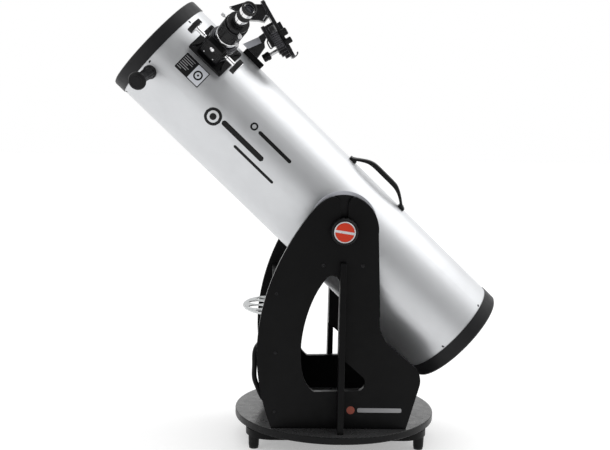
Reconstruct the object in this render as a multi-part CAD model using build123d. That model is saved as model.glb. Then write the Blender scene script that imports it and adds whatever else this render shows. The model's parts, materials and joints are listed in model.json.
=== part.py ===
from build123d import *
import os
from math import cos, hypot, radians, sin

# A 10-inch Newtonian reflector on a Dobsonian rocker base. Millimetres, +Z up.
# Origin: on the azimuth axis, on the floor. The altitude axis is parallel to Y.
# At rest the open front of the tube points towards -X and up.

# ---- driving dimensions: base ----
foot_radius = 15.0
foot_height = 36.0
foot_circle = 265.0
ground_thickness = 20.0
ground_corner_centre = 208.0
ground_corner_radius = 72.0
azimuth_gap = 4.0
disc_radius = 284.5
disc_thickness = 20.0
board = 16.0
panel_inner_y = 192.0
front_board_x = -183.0
front_board_height = 385.0
rib_foot_depth = 53.0
rib_top_depth = 20.0
rib_height = 455.0
pivot_above_disc = 539.2
bolt_radius = 5.0
rotation_fit = 0.06
azimuth_pad_angles = (90, 210, 330)
side_screw_heights = (46, 208, 369)
support_pad_x = 52.0
support_pad_drop = 92.0
rack_thickness = 3.5
rack_flange = 3.5
rack_height = 298.0
rack_reach = 84.0
rack_half_width = 134.0
rack_holes = [(-90.0, 30.0, 16.3), (-31.5, 42.0, 25.8), (31.5, 42.0, 25.8), (90.0, 30.0, 16.3)]
handle_foot = 6.0

# ---- driving dimensions: tube ----
altitude_deg = 43.16
tube_radius = 153.0
tube_wall = 1.5
tube_front_s = 681.5
tube_back_s = -435.0
ring_radius = 155.0
front_end_s = 719.0
back_end_s = -475.0
ring_screw_angles = [45 + 60 * k for k in range(6)]
bearing_disc_radius = 95.0
trunnion_radius = 10.0
slot_half_width = 10.3
cell_flange_radius = 100.0
cell_bolt_circle = 118.0
cell_angles = (0, 120, 240)
handle_phi = 10.0
steering_s = 657.0
steering_phi = 113.0

# ---- driving dimensions: focuser, optics and accessories ----
focuser_s = 571.8
focuser_phi = 54.3
drawtube_radius = 27.5
pinion_offset_y = 32.0
pinion_h = 233.0
eyepiece_barrel_radius = 15.875
dock_phi = 0.0
dock_tray_front = (581.0, 293.0)
dock_tray_tilt = 15.9
dock_tray_length = 176.0
dock_tray_thickness = 10.0
dock_tray_width = 86.0
primary_radius = 127.0
primary_front_s = -373.0
primary_thickness = 32.0
secondary_radius = 31.0

# ---- heights that follow ----
ground_top = foot_height + ground_thickness
disc_bottom = ground_top + azimuth_gap
disc_top = disc_bottom + disc_thickness
bolt_nut_low = disc_top + 2.3
pivot_z = disc_top + pivot_above_disc
panel_outer_y = panel_inner_y + board

altitude = radians(altitude_deg)
tube_dir = Vector(-cos(altitude), 0, sin(altitude))
tube_up = Vector(sin(altitude), 0, cos(altitude))
side_dir = Vector(0, -1, 0)
pivot = Vector(0, 0, pivot_z)

parts = {}


# ---- frames ----
def radial(phi):
    """Unit vector out from the tube axis; phi 0 is the top line, 90 is the -Y side."""
    return tube_up * cos(radians(phi)) + side_dir * sin(radians(phi))


def on_tube(s, phi):
    """Frame on the tube axis: local X along the tube, local Z outwards at phi."""
    return Plane(origin=pivot + tube_dir * s, x_dir=tube_dir, z_dir=radial(phi))


def along_tube(s=0.0):
    """Frame with local Z along the tube and local X at the top line."""
    return Plane(origin=pivot + tube_dir * s, x_dir=tube_up, z_dir=tube_dir)


def put(plane, shape):
    return plane.location * shape


def cyl(radius, low, high):
    return Pos(0, 0, (low + high) / 2) * Cylinder(radius, high - low)


def ring(outer, inner, low, high):
    return cyl(outer, low, high) - cyl(inner, low - 1, high + 1)


def block(x, y, z):
    """Box between given limits, each a (low, high) pair."""
    centre = Pos(sum(x) / 2, sum(y) / 2, sum(z) / 2)
    return centre * Box(x[1] - x[0], y[1] - y[0], z[1] - z[0])


def prism(points, half_width, plane=Plane.XZ):
    """Closed outline in the plane's own X and Y, pushed half_width to each side."""
    face = make_face(Polyline(*points, close=True))
    return extrude(plane * face, amount=half_width, both=True)


def tube_core(radius, low=-500.0, high=750.0):
    return put(along_tube(), cyl(radius, low, high))


def knob(radius, low, high, lobes, lobe_depth):
    """Round knob with evenly spaced shallow finger grooves."""
    body = cyl(radius, low, high)
    groove_radius = radius * 2.2 / lobes
    for k in range(lobes):
        angle = 360.0 * k / lobes
        reach = radius + groove_radius - lobe_depth
        groove = Rot(0, 0, angle) * Pos(reach, 0, 0) * cyl(groove_radius, low - 1, high + 1)
        body -= groove
    return body


# ---- ground base ----
def build_ground():
    reach = ground_corner_centre + 2 * ground_corner_radius
    corners = [(reach * cos(radians(a)), reach * sin(radians(a))) for a in azimuth_pad_angles]
    outline = make_face(Polyline(*corners, close=True))
    outline = fillet(outline.vertices(), ground_corner_radius)
    slab = extrude(Pos(0, 0, foot_height) * outline, amount=ground_thickness)
    slab = fillet(slab.faces().sort_by(Axis.Z)[-1].edges(), 2.0)
    slab -= cyl(bolt_radius, foot_height - 1, ground_top + 1)
    parts["ground_board"] = slab

    feet = []
    for angle in azimuth_pad_angles:
        place = Pos(foot_circle * cos(radians(angle)), foot_circle * sin(radians(angle)), 0)
        feet.append(place * cyl(foot_radius, 0, foot_height))
    parts["leveling_feet"] = feet

    pads = []
    for angle in azimuth_pad_angles:
        pad = block((185, 225), (-14, 14), (ground_top, disc_bottom - 0.3))
        pads.append(Rot(0, 0, angle) * pad)
    parts["azimuth_pads"] = pads


def build_azimuth_hardware():
    head = extrude(RegularPolygon(9.8, 6), amount=7.0)
    bolt = Pos(0, 0, foot_height - 7.0) * head
    bolt += cyl(bolt_radius, foot_height - 1.0, bolt_nut_low + 16.0)
    nut = Pos(0, 0, bolt_nut_low) * extrude(RegularPolygon(9.8, 6), amount=9.0)
    nut += cyl(15.0, bolt_nut_low - 2.0, bolt_nut_low)
    nut -= cyl(bolt_radius, bolt_nut_low - 3, bolt_nut_low + 10)
    parts["azimuth_pivot_bolt"] = [bolt, nut]


# ---- rocker ----
def build_disc():
    disc = cyl(disc_radius, disc_bottom, disc_top)
    disc = fillet(disc.edges(), 2.5)
    parts["turntable_disc"] = disc - cyl(bolt_radius + rotation_fit, disc_bottom - 1, disc_top + 1)


def panel_outline():
    """Side panel in X and height above the disc, with the trunnion slot at its top."""
    lip = 22.0
    slot_top = 608.0
    inner = slot_half_width
    pivot_h = pivot_above_disc
    mouth_x = inner + lip
    crest = slot_top + lip
    left = Spline(
        (-184, 0), (-212, 92), (-225.5, 197), (-212, 328), (-178.5, 433),
        (-138, 513), (-94, 579), (-64.5, 612), (-mouth_x, crest),
    )
    lip_mid_x = mouth_x - lip * cos(radians(45))
    lip_mid_h = slot_top + lip * sin(radians(45))
    left_lip = ThreePointArc((-mouth_x, crest), (-lip_mid_x, lip_mid_h), (-inner, slot_top))
    slot_left = Line((-inner, slot_top), (-inner, pivot_h))
    slot_end = ThreePointArc((-inner, pivot_h), (0, pivot_h - inner), (inner, pivot_h))
    slot_right = Line((inner, pivot_h), (inner, slot_top))
    right_lip = ThreePointArc((inner, slot_top), (lip_mid_x, lip_mid_h), (mouth_x, crest))
    shoulder = Spline((mouth_x, crest), (56, 613), (80, 586), (92.5, 534))
    back = Line((92.5, 534), (103, 311))
    waist = ThreePointArc((103, 311), (109, 262), (126, 235))
    slope = Line((126, 235), (197.5, 176))
    heel = ThreePointArc((197.5, 176), (214, 152), (215, 118.5))
    heel_down = Line((215, 118.5), (182, 0))
    bottom = Line((182, 0), (-184, 0))
    edges = [
        left, left_lip, slot_left, slot_end, slot_right, right_lip, shoulder,
        back, waist, slope, heel, heel_down, bottom,
    ]
    return make_face(Wire(edges))


def window_outline():
    """Lightening window in the side panel, in X and height above the disc."""
    left = Spline(
        (-45.5, 409), (-69, 371.5), (-92, 313), (-106, 240), (-105, 170),
        (-94, 129), (-70.8, 102),
    )
    bottom = Line((-70.8, 102), (48, 105))
    corner = ThreePointArc((48, 105), (66, 119), (62, 143))
    slope = Line((62, 143), (-8, 204))
    right = Line((-8, 204), (-8, 402))
    top = ThreePointArc((-8, 402), (-22, 418), (-45.5, 409))
    return make_face(Wire([left, bottom, corner, slope, right, top]))


def panel(outer_y_side):
    """Side panel on the -Y side (-1) or the +Y side (+1)."""
    face = panel_outline() - window_outline()
    start = panel_outer_y if outer_y_side > 0 else panel_inner_y
    plane = Plane.XZ.offset(-start * outer_y_side)
    return Pos(0, 0, disc_top) * extrude(plane * face, amount=board)


def rib(outer_y_side):
    side = outer_y_side
    points = [
        (side * panel_outer_y, disc_top),
        (side * (panel_outer_y + rib_foot_depth), disc_top),
        (side * (panel_outer_y + rib_foot_depth), disc_top + 40),
        (side * (panel_outer_y + rib_top_depth), disc_top + rib_height),
        (side * panel_outer_y, disc_top + rib_height),
    ]
    return prism(points, board / 2, Plane.YZ)


def screw_y(x, height, y_head, inwards, length=22.0, radius=2.5, head=5.0):
    """Pan-head screw along Y whose head rests on y_head and whose shank runs inwards."""
    plane = Plane(origin=(x, y_head, height), x_dir=(1, 0, 0), z_dir=(0, -inwards, 0))
    pan = fillet(cyl(head, 0, 2.6).edges().group_by(Axis.Z)[-1], 1.2)
    return put(plane, pan + cyl(radius, -length, 0.5))


def screw_x(y, height, x_head, length=12.0, radius=2.0, head=4.0):
    """Pan-head screw along +X whose head rests on x_head."""
    plane = Plane(origin=(x_head, y, height), x_dir=(0, 1, 0), z_dir=(-1, 0, 0))
    pan = fillet(cyl(head, 0, 2.2).edges().group_by(Axis.Z)[-1], 1.0)
    return put(plane, pan + cyl(radius, -length, 0.5))


def build_rocker():
    near_panel = panel(-1)
    far_panel = panel(1)
    board_x = (front_board_x, front_board_x + board)
    board_z = (disc_top, disc_top + front_board_height)
    front = block(board_x, (-panel_inner_y, panel_inner_y), board_z)
    scoop_radius = tube_radius + 15.0
    scoop = Plane(origin=(front_board_x - 1, 0, pivot_z), x_dir=(0, 1, 0), z_dir=(1, 0, 0))
    front -= put(scoop, cyl(scoop_radius, 0, board + 2))

    screws = []
    board_mid = front_board_x + board / 2
    for side in (-1, 1):
        for height in side_screw_heights:
            screws.append(screw_y(board_mid, disc_top + height, side * panel_outer_y, -side, 40.0))
    pads = []
    pad_z = pivot_z - support_pad_drop
    pad_radius = hypot(support_pad_x, support_pad_drop) - bearing_disc_radius - 0.4
    for side in (-1, 1):
        for x in (-support_pad_x, support_pad_x):
            centre = (x, side * panel_inner_y, pad_z)
            plane = Plane(origin=centre, x_dir=(1, 0, 0), z_dir=(0, -side, 0))
            pads.append(put(plane, ring(pad_radius, 3.0, 0, 14.0)))
            screw = screw_y(x, pad_z, side * panel_outer_y, -side, board + 13.0, 3.0, 6.0)
            screws.append(screw)
    parts["altitude_support_pads"] = pads

    rack = eyepiece_rack()
    grip = base_handle()
    for y in (-100, 0, 100):
        screws.append(screw_x(y, disc_top + 288.0, front_board_x - rack_flange))
    for height in (14, 200):
        for y in (-9, 9):
            screws.append(screw_x(y, disc_top + height, front_board_x - handle_foot))
    near_panel -= screws
    far_panel -= screws
    front -= screws
    rack -= screws
    grip -= screws
    parts["near_side_panel"] = near_panel
    parts["far_side_panel"] = far_panel
    parts["near_stiffening_rib"] = rib(-1)
    parts["far_stiffening_rib"] = rib(1)
    parts["front_board"] = front
    parts["eyepiece_rack"] = rack
    parts["base_carry_handle"] = grip
    parts["rocker_screws"] = screws


def eyepiece_rack():
    top = disc_top + rack_height
    front_half = Pos(-rack_reach, 0) * Rectangle(2 * rack_reach, 3 * rack_half_width)
    plate = Ellipse(rack_reach, rack_half_width) & front_half
    rack = extrude(Pos(front_board_x, 0, top - rack_thickness) * plate, amount=rack_thickness)
    flange_x = (front_board_x - rack_flange, front_board_x)
    rack += block(flange_x, (-rack_half_width + 6, rack_half_width - 6), (top - 18.0, top))
    for y, reach, radius in rack_holes:
        rack -= Pos(front_board_x - reach, y, 0) * cyl(radius, top - 10, top + 1)
    return rack


def base_handle():
    """Bent strap handle on the front board, in X and height above the disc."""
    outer = [
        (-183, 4), (-200, 6), (-213, 20), (-239, 81),
        (-239, 161), (-229, 182), (-206, 206), (-183, 210),
    ]
    inner = [
        (-183, 188), (-199, 186), (-217, 170), (-225, 157),
        (-225, 84), (-203, 34), (-195, 26), (-183, 24),
    ]
    points = [(x, disc_top + z) for x, z in outer + inner]
    grip = prism(points, 16.0)
    foot_x = (front_board_x - handle_foot, front_board_x)
    for low, high in ((4, 24), (188, 210)):
        grip += block(foot_x, (-20, 20), (disc_top + low, disc_top + high))
    return grip


# ---- optical tube ----
def small_screw(s, phi, base_h, head=4.0, depth=5.0, shank=2.0):
    pan = fillet(cyl(head, base_h, base_h + 2.2).edges().group_by(Axis.Z)[-1], 1.0)
    return put(on_tube(s, phi), pan + cyl(shank, base_h - depth, base_h + 0.5))


def revolved(points):
    """Ring about the tube axis from an outline of (radius, s) corners."""
    face = make_face(Polyline(*points, close=True))
    return put(along_tube(), revolve(Plane.XZ * face, axis=Axis.Z))


def build_tube():
    shell = put(along_tube(), ring(tube_radius, tube_radius - tube_wall, tube_back_s, tube_front_s))
    shell -= put(on_tube(focuser_s, focuser_phi), cyl(30.0, 120, 170))

    sleeve = tube_radius - tube_wall
    front_points = [
        (sleeve, 662), (sleeve - 3.5, 662), (sleeve - 3.5, 700), (142, 712), (142, front_end_s - 2),
        (144, front_end_s), (150, front_end_s), (153.6, front_end_s - 2),
        (ring_radius, front_end_s - 6), (ring_radius, tube_front_s), (sleeve, tube_front_s),
    ]
    front_ring = revolved(front_points)
    flange_s = back_end_s + 26.0
    rear_points = [
        (sleeve, -414), (sleeve - 3.5, -414), (sleeve - 3.5, flange_s),
        (cell_flange_radius, flange_s), (cell_flange_radius, flange_s - 5), (148, flange_s - 5),
        (148, back_end_s + 3), (149, back_end_s), (152, back_end_s),
        (ring_radius, back_end_s + 4), (ring_radius, tube_back_s), (sleeve, tube_back_s),
    ]
    rear_ring = revolved(rear_points)

    screws = []
    for phi in ring_screw_angles:
        screws.append(small_screw(675.0, phi, tube_radius))
        screws.append(small_screw(-429.0, phi, tube_radius))
    grip = tube_handle()
    for s in (-95.0, 98.0):
        for y in (-6.0, 6.0):
            plane = on_tube(s, handle_phi)
            base = 161.0
            pan = cyl(3.2, base, base + 2.0) + cyl(1.8, tube_radius - 3.0, base + 0.5)
            screws.append(put(plane, Pos(0, y, 0) * pan))
    shell -= screws
    front_ring -= screws
    rear_ring -= screws
    grip -= screws
    parts["tube_shell"] = shell
    parts["front_ring"] = front_ring
    parts["rear_ring"] = rear_ring
    parts["tube_carry_handle"] = grip
    parts["tube_screws"] = screws


def tube_handle():
    """Carry handle along the top of the tube, in s and distance from the tube axis."""
    outer = [
        (108, 150), (108, 161), (97, 168), (76, 184), (50, 195), (-36, 195),
        (-54, 190), (-74, 180), (-90, 165), (-104, 161), (-104, 150),
    ]
    inner = [
        (-84, 150), (-80, 160), (-66, 172), (-50, 179), (-28, 181),
        (45, 181), (61, 177), (75, 166), (84, 150),
    ]
    plane = on_tube(0, handle_phi)
    side = Plane(origin=plane.origin, x_dir=plane.x_dir, z_dir=-plane.y_dir)
    grip = prism(outer + inner, 12.0, side)
    return grip - tube_core(tube_radius)


def build_optics():
    hub = cyl(20.0, 664, 690)
    for k in range(4):
        vane = block((18.0, tube_radius - tube_wall - 3.7), (-0.8, 0.8), (668, 688))
        hub += Rot(0, 0, 10 + 90 * k) * vane
    parts["spider"] = put(along_tube(), hub)

    normal = (radial(focuser_phi) - tube_dir).normalized()
    face_plane = Plane(origin=pivot + tube_dir * focuser_s, x_dir=side_dir.cross(normal), z_dir=normal)
    glass_thickness = 8.0
    barrel = put(along_tube(), cyl(secondary_radius, focuser_s - 60, focuser_s + 60))
    slab = put(face_plane, block((-90, 90), (-90, 90), (-glass_thickness, 0)))
    parts["secondary_mirror"] = barrel & slab
    stem = put(along_tube(), cyl(secondary_radius - 2.0, focuser_s - 60, focuser_s + 62))
    behind = put(face_plane, block((-120, 120), (-120, 120), (-200, -glass_thickness)))
    parts["secondary_holder"] = (stem & behind) + put(along_tube(), cyl(6.0, focuser_s + 50, 664))

    back = primary_front_s - primary_thickness
    mirror = put(along_tube(), cyl(primary_radius, back, primary_front_s))
    parts["primary_mirror"] = mirror
    plate = cyl(primary_radius, back - 9, back - 3)
    pads = []
    for angle in cell_angles:
        pads.append(Rot(0, 0, angle + 60) * Pos(80, 0, 0) * cyl(14, back - 3.5, back))
        arm = block((100, 133), (-10, 10), (back - 9, back - 3))
        plate += Rot(0, 0, angle + 60) * arm
    plate -= cyl(38, back - 12, back)
    for pad in pads:
        plate += pad
    clips = []
    for angle in cell_angles:
        upright = block((primary_radius + 0.5, 133), (-9, 9), (back - 3, primary_front_s + 2.5))
        lip = block((120, 133), (-9, 9), (primary_front_s + 0.2, primary_front_s + 2.5))
        clips.append(put(along_tube(), Rot(0, 0, angle + 60) * (upright + lip)))
    parts["mirror_cell"] = [put(along_tube(), plate), *clips]

    flange_front = back_end_s + 26.0
    flange_back = flange_front - 5.0
    plate_back = back - 9.0
    springs = []
    for number, angle in enumerate(cell_angles, 1):
        spot = Rot(0, 0, angle) * Pos(cell_bolt_circle, 0, 0)
        screw = cyl(3.0, flange_back - 4, plate_back - 0.3)
        grip = knob(11.0, flange_back - 15, flange_back - 0.5, 8, 1.4)
        parts[f"collimation_knob_{number}"] = put(along_tube(), spot * (screw + grip))
        springs.append(put(along_tube(), spot * ring(7.0, 4.6, flange_front, plate_back)))
        parts["rear_ring"] -= put(along_tube(), spot * cyl(3.08, flange_back - 1, flange_front + 1))
    parts["collimation_springs"] = springs


def build_altitude():
    brackets = []
    discs = []
    for side, phi in (("near", 90.0), ("far", -90.0)):
        plane = on_tube(0, phi)
        saddle = block((-80, 80), (-34, 34), (130, 178))
        saddle = fillet(saddle.edges().filter_by(Axis.Z), 10.0)
        brackets.append(put(plane, saddle) - tube_core(tube_radius))
        wheel = fillet(cyl(bearing_disc_radius, 178, 190).edges(), 1.0)
        wheel += cyl(trunnion_radius, 189, 226)
        discs.append(put(plane, wheel))
        grip = knob(37.0, panel_outer_y + 0.8, 236.0, 18, 1.8)
        grip = grip - cyl(trunnion_radius + rotation_fit, panel_outer_y - 2, 226.5)
        grip = grip - cyl(28.4, 234.0, 240)
        parts[f"{side}_tension_knob"] = put(plane, grip)
        badge = fillet(cyl(28.4, 234.0, 238.0).edges().group_by(Axis.Z)[-1], 1.2)
        parts[f"{side}_knob_badge"] = put(plane, badge)
    parts["bearing_brackets"] = brackets
    parts["altitude_bearing_discs"] = discs


def build_steering_knob():
    plane = on_tube(steering_s, steering_phi)
    cap = cyl(24.5, 234, 247)
    cap = fillet(cap.edges().group_by(Axis.Z)[-1], 5.0)
    cap = fillet(cap.edges().group_by(Axis.Z)[0], 2.0)
    grip = cap + cyl(16.5, 140, 236)
    parts["steering_knob"] = put(plane, grip) - tube_core(tube_radius)


# ---- focuser and eyepiece ----
def build_focuser():
    plane = on_tube(focuser_s, focuser_phi)
    base = block((-56, 57), (-50, 50), (130, 179))
    base = fillet(base.edges().filter_by(Axis.Z), 6.0)
    base = fillet(base.faces().sort_by(Axis.Z)[-1].edges(), 2.0)
    base = base - cyl(29.5, 120, 190)
    parts["focuser_base"] = put(plane, base) - tube_core(tube_radius)

    body = cyl(34.0, 179, 250)
    body += block((-36, 42), (8, 44), (216, 249))
    body += block((-36, 42), (-38, 38), (179, 187))
    body -= cyl(drawtube_radius + 0.08, 170, 260)
    shaft_place = Plane(origin=(3.0, pinion_offset_y, pinion_h), x_dir=(0, 1, 0), z_dir=(1, 0, 0))
    shaft_radius = 4.0
    body -= put(shaft_place, cyl(shaft_radius + rotation_fit, -60, 60))
    parts["focuser_body"] = put(plane, body)

    shaft = cyl(shaft_radius, -74, 74)
    for side in (-1, 1):
        shaft += Pos(0, 0, side * 53.5) * Cylinder(5.6, 25.0)
    parts["pinion_shaft"] = put(plane, put(shaft_place, shaft))
    knobs = []
    for side in (-1, 1):
        wheel = Pos(0, 0, side * 74.0) * knob(20.5, -8, 8, 24, 0.8)
        wheel -= put(Plane.XY, shaft)
        knobs.append(put(plane, put(shaft_place, wheel)))
    parts["focus_knobs"] = knobs

    bore = 25.46
    tube = ring(drawtube_radius, bore, 158, 268)
    tube += ring(31.6, bore, 258, 266)
    parts["drawtube"] = put(plane, tube)
    drum = ring(32.2, bore, 266, 320) - cyl(drawtube_radius, 260, 268)
    drum -= ring(40, 31.2, 314.0, 316.0)
    adapter = cyl(25.4, 284, 321) + cyl(29.5, 320.3, 336)
    adapter = chamfer(adapter.edges().group_by(Axis.Z)[-1], 1.5)
    adapter -= cyl(eyepiece_barrel_radius + rotation_fit, 270, 340)

    screw_spots = {
        "drawtube_thumbscrew_1": (0.0, 308.0, 26.0, 32.4),
        "drawtube_thumbscrew_2": (146.0, 290.0, 26.0, 32.4),
        "adapter_thumbscrew": (135.0, 328.6, 17.5, 29.7),
    }
    for name, (angle, height, tip, seat) in screw_spots.items():
        outwards = (cos(radians(angle)), sin(radians(angle)), 0)
        spot = Plane(origin=(0, 0, height), x_dir=(0, 0, 1), z_dir=outwards)
        screw = cyl(1.9, tip, seat + 8) + knob(4.6, seat + 5, seat + 14, 12, 0.5)
        parts[name] = put(plane, put(spot, screw))
        hole = put(spot, cyl(1.96, tip - 2.5, seat + 6))
        if name.startswith("drawtube"):
            drum -= hole
        else:
            adapter -= hole
    parts["drawtube_clamp"] = put(plane, drum)
    parts["eyepiece_adapter"] = put(plane, adapter)

    core = cyl(eyepiece_barrel_radius, 302, 338) + cyl(18.0, 336.4, 362) + cyl(16.6, 361, 381)
    core += cyl(18.0, 380, 395) + cyl(16.0, 394, 400)
    core -= cyl(13.0, 301, 401)
    parts["eyepiece_body"] = put(plane, core)
    grip = knob(18.6, 362, 380, 30, 0.5) - cyl(16.6, 361, 381)
    parts["eyepiece_grip"] = put(plane, grip)
    cup = cyl(19.6, 395, 405) - cyl(16.0, 394, 400) - cyl(14.0, 399, 406)
    parts["eyepiece_eyecup"] = put(plane, cup)
    glass = cyl(13.0, 388, 395)
    parts["eyepiece_lens"] = put(plane, glass)


# ---- phone dock ----
def dock_side_plane():
    """Frame whose X is s and whose Y is the distance from the tube axis."""
    plane = on_tube(0, dock_phi)
    return Plane(origin=plane.origin, x_dir=plane.x_dir, z_dir=-plane.y_dir)


def tray_plane():
    """Local X runs back along the tray, local Z out of its face, from its front end."""
    plane = on_tube(0, dock_phi)
    tilt = radians(dock_tray_tilt)
    back = plane.x_dir * -cos(tilt) - plane.z_dir * sin(tilt)
    out = plane.z_dir * cos(tilt) - plane.x_dir * sin(tilt)
    front_s, front_h = dock_tray_front
    start = plane.origin + plane.x_dir * front_s + plane.z_dir * front_h
    return Plane(origin=start, x_dir=back, z_dir=out)


def build_dock_mount():
    side = dock_side_plane()
    shoe_plane = on_tube(0, dock_phi)
    across = Plane(origin=(0, 0, 0), x_dir=(0, 1, 0), z_dir=(1, 0, 0))

    shoe = block((458, 523), (-23, 23), (140, 167.5))
    slot_points = [(-14.3, 168), (-17.3, 158.7), (17.3, 158.7), (14.3, 168)]
    slot = make_face(Polyline(*slot_points, close=True))
    shoe -= Pos(450, 0, 0) * extrude(across * slot, amount=90)
    thumb = Plane(origin=(478, 0, 163.0), x_dir=(1, 0, 0), z_dir=(0, -1, 0))
    shoe -= put(thumb, cyl(2.0 + rotation_fit, 12, 30))
    parts["finder_shoe"] = put(shoe_plane, shoe) - tube_core(tube_radius)
    thumbscrew = cyl(2.0, 16.8, 34) + knob(6.5, 31, 40, 12, 0.7)
    parts["shoe_thumbscrew"] = put(shoe_plane, put(thumb, thumbscrew))

    foot_points = [(-14, 167.8), (-16.8, 159.1), (16.8, 159.1), (14, 167.8)]
    foot = make_face(Polyline(*foot_points, close=True))
    bracket = put(shoe_plane, Pos(462, 0, 0) * extrude(across * foot, amount=60))
    wedge = [
        (540, 167.8), (484, 167.8), (484, 171), (489, 204),
        (500, 213), (508, 232), (518, 236), (522, 213),
    ]
    bracket += prism(wedge, 20.0, side)
    bracket += put(tray_plane(), block((60, 124), (-24, 24), (-44, -34.3)))
    parts["dock_bracket"] = bracket


def build_dock_stage():
    tray_at = tray_plane()
    carriage = block((63, 150), (-27, 27), (-34, -10.3))
    carriage += block((92, 142), (-64, -20), (-34, -28))
    carriage += block((92, 142), (-64, -47), (-34, -12))
    knobs = {
        "dock_lengthwise_knob": (104.0, -55.5, 11.0),
        "dock_sideways_knob": (130.0, -54.5, 9.0),
    }
    for name, (along, across, radius) in knobs.items():
        spot = Pos(along, across, 0)
        carriage -= spot * cyl(3.0 + rotation_fit, -40, 0)
        grip = knob(radius, -10.0, 13.0, 10, 0.9) + cyl(3.0, -32.0, -9.0)
        parts[name] = put(tray_at, spot * grip)
    parts["dock_carriage"] = put(tray_at, carriage)
    lock = Pos(137, 0, 0) * (knob(12.0, -80, -58, 8, 1.5) + cyl(4.0, -60, -34.3))
    parts["dock_lock_knob"] = put(tray_at, lock)


def build_phone_holder():
    tray_at = tray_plane()
    half = dock_tray_width / 2
    tray = block((0, dock_tray_length), (-half, half), (-dock_tray_thickness, 0))
    tray = fillet(tray.edges().filter_by(Axis.Z), 8.0)
    tray -= block((14, 40), (-16, 16), (-20, 5))
    stop = (dock_tray_length - 7, dock_tray_length - 3)
    for y in (-26, 26):
        tray += block(stop, (y - 6, y + 6), (-1, 12))
    tray -= block((66, 92), (36, 60), (-20, 5))
    parts["phone_tray"] = put(tray_at, tray)

    hood = [
        (635, 213), (614, 251), (592, 266), (575, 282), (540, 272),
        (538, 252), (553, 243), (572, 226), (596, 210), (620, 206),
    ]
    cavity = [
        (642, 216), (622, 250), (611, 249), (589, 263), (570, 277), (567, 283),
        (545, 277), (543, 255), (555, 247), (574, 230), (597, 214), (620, 210),
    ]
    housing = prism(hood, 30.0, dock_side_plane())
    housing -= prism(cavity, 27.0, dock_side_plane())
    housing -= put(tray_at, block((-60, 172), (-50, 50), (-dock_tray_thickness, 40)))
    parts["dock_mirror_housing"] = housing
    glass = [(575, 232), (577, 234.5), (551, 255), (549, 252.5)]
    parts["dock_mirror"] = prism(glass, 26.0, dock_side_plane())

    jaw = block((68, 90), (38, 54), (-9, -1))
    jaw += block((68, 90), (48, 54), (-2, 14))
    parts["phone_clamp"] = put(tray_at, jaw)


# ---- build and write ----
def main():
    build_ground()
    build_azimuth_hardware()
    build_disc()
    build_rocker()
    build_tube()
    build_optics()
    build_altitude()
    build_steering_knob()
    build_focuser()
    build_dock_mount()
    build_dock_stage()
    build_phone_holder()
    os.makedirs("parts", exist_ok=True)
    for name, shape in parts.items():
        if isinstance(shape, list):
            shape = Compound(children=shape)
        export_step(shape, f"parts/{name}.step")
        size = shape.bounding_box().size
        print(f"{name:26s} {len(shape.solids()):3d} solids {size.X:7.1f} {size.Y:7.1f} {size.Z:7.1f}")
    print(len(parts), "nodes")


main()
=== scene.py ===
"""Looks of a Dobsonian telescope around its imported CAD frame. Lengths are in mm unless a name says _M."""
import json
from math import asin, copysign, cos, degrees, hypot, pi, radians, sin, sqrt

import bmesh
import bpy
import numpy as np
from mathutils import Matrix, Vector


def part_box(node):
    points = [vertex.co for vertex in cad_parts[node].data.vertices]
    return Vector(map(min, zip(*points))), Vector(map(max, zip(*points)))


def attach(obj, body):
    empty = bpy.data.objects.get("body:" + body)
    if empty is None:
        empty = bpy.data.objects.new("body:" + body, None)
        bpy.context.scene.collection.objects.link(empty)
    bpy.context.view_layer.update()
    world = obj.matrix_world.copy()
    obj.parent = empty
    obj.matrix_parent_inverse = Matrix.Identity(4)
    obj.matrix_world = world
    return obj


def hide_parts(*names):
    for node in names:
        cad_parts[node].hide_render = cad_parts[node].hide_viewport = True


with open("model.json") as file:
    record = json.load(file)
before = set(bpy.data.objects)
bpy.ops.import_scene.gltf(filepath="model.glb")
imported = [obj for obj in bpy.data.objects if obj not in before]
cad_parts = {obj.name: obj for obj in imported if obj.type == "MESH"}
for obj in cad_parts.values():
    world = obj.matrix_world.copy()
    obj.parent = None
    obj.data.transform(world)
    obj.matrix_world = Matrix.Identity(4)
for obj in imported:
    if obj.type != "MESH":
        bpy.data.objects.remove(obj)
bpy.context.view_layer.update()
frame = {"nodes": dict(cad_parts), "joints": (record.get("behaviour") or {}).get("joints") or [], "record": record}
nodes = frame["nodes"]
behaviour = frame["record"]["behaviour"]
joints = {joint["name"]: joint for joint in frame["joints"]}
body_of = {node: body for body, members in behaviour["bodies"].items() for node in members}

MM = 0.001
X, Y, Z = Matrix.Identity(3)
HERE = Matrix.Identity(4)
CRISP_FROM = radians(38)  # edges sharper than this stay crisp in the shading
BEVEL_FROM = radians(28)  # edges sharper than this are rounded
FLAT_BELOW = radians(0.4)  # faces closer than this to one plane are merged
WELD_M = 2e-6

# ---- places, read from the frame where it gives them ----
pivot = Vector(joints["altitude_tilt"]["pos_m"])
tube_dir = -Vector(joints["dock_slide"]["axis"]).normalized()
tube_up = Vector((tube_dir.z, 0, -tube_dir.x))
near_side = -Y
focus_dir = Vector(joints["focus_travel"]["axis"]).normalized()
focuser_s = 571.8  # the focuser's place along the tube from the pivot
tube_radius = 153.0
handle_phi = 10.0  # round the tube from its top line
panel_face_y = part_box("near_side_panel")[0].y / MM
disc_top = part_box("turntable_disc")[1].z / MM
board_face_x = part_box("front_board")[0].x / MM


def axes(origin, x, z):
    """Frame with that origin, local X along x and local Z near z."""
    x = x.normalized()
    z = (z - x * z.dot(x)).normalized()
    turn = Matrix((x, z.cross(x), z)).transposed().to_4x4()
    return Matrix.Translation(origin) @ turn


def shift(x, y, z):
    """Frame moved by that many mm."""
    return Matrix.Translation(Vector((x, y, z)) * MM)


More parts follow.
